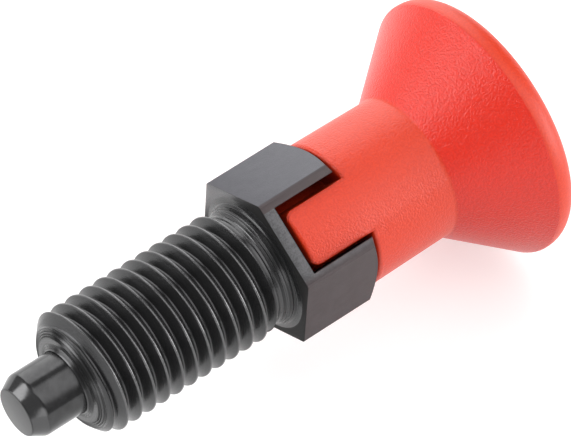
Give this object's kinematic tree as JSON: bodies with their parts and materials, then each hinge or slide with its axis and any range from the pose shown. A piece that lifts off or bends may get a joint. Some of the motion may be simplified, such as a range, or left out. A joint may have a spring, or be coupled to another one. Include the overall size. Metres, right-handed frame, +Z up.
{
  "type": "indexing plunger",
  "caption": "Indexing plunger: a sprung pin in a fine-threaded sleeve with a slotted hexagon collar, pulled back by a red mushroom grip.",
  "frame": {"origin": "on the plunger's axis, in the front face of the hexagon collar, which seats on the fixture; this is also the middle of the overall length", "axes": "+X along the plunger's axis, from the pin's tip towards the grip; +Z up as it lies level, with two corners of the hexagon up and down; the collar's slot faces 60 degrees above -Y"},
  "size_m": [0.052, 0.025, 0.025],
  "materials": {
    "sleeve_steel": "turned and milled steel, black oxide",
    "pin_steel": "hardened and ground steel, dark glossy oxide",
    "spring_wire": "drawn spring wire",
    "retainer_steel": "turned steel, black oxide",
    "grip_plastic": "red moulded plastic with a fine matt grain"
  },
  "bodies": {
    "sleeve": {"guide_sleeve": "sleeve_steel", "spring_retainer": "retainer_steel"},
    "spring": {"return_spring": "spring_wire"},
    "plunger": {"index_pin": "pin_steel", "mushroom_grip": "grip_plastic"}
  },
  "joints": [
    {"name": "turn", "type": "hinge", "parent": "sleeve", "child": "spring", "pos_m": [0, 0, 0], "axis": [1, 0, 0], "range_deg": [-7.5, 2.7]},
    {"name": "pull", "type": "slide", "parent": "spring", "child": "plunger", "axis": [1, 0, 0], "range_m": [0, 0.0065], "stiffness_N_per_m": 1370, "springref_m": -0.0047, "deforming": ["return_spring"]}
  ]
}
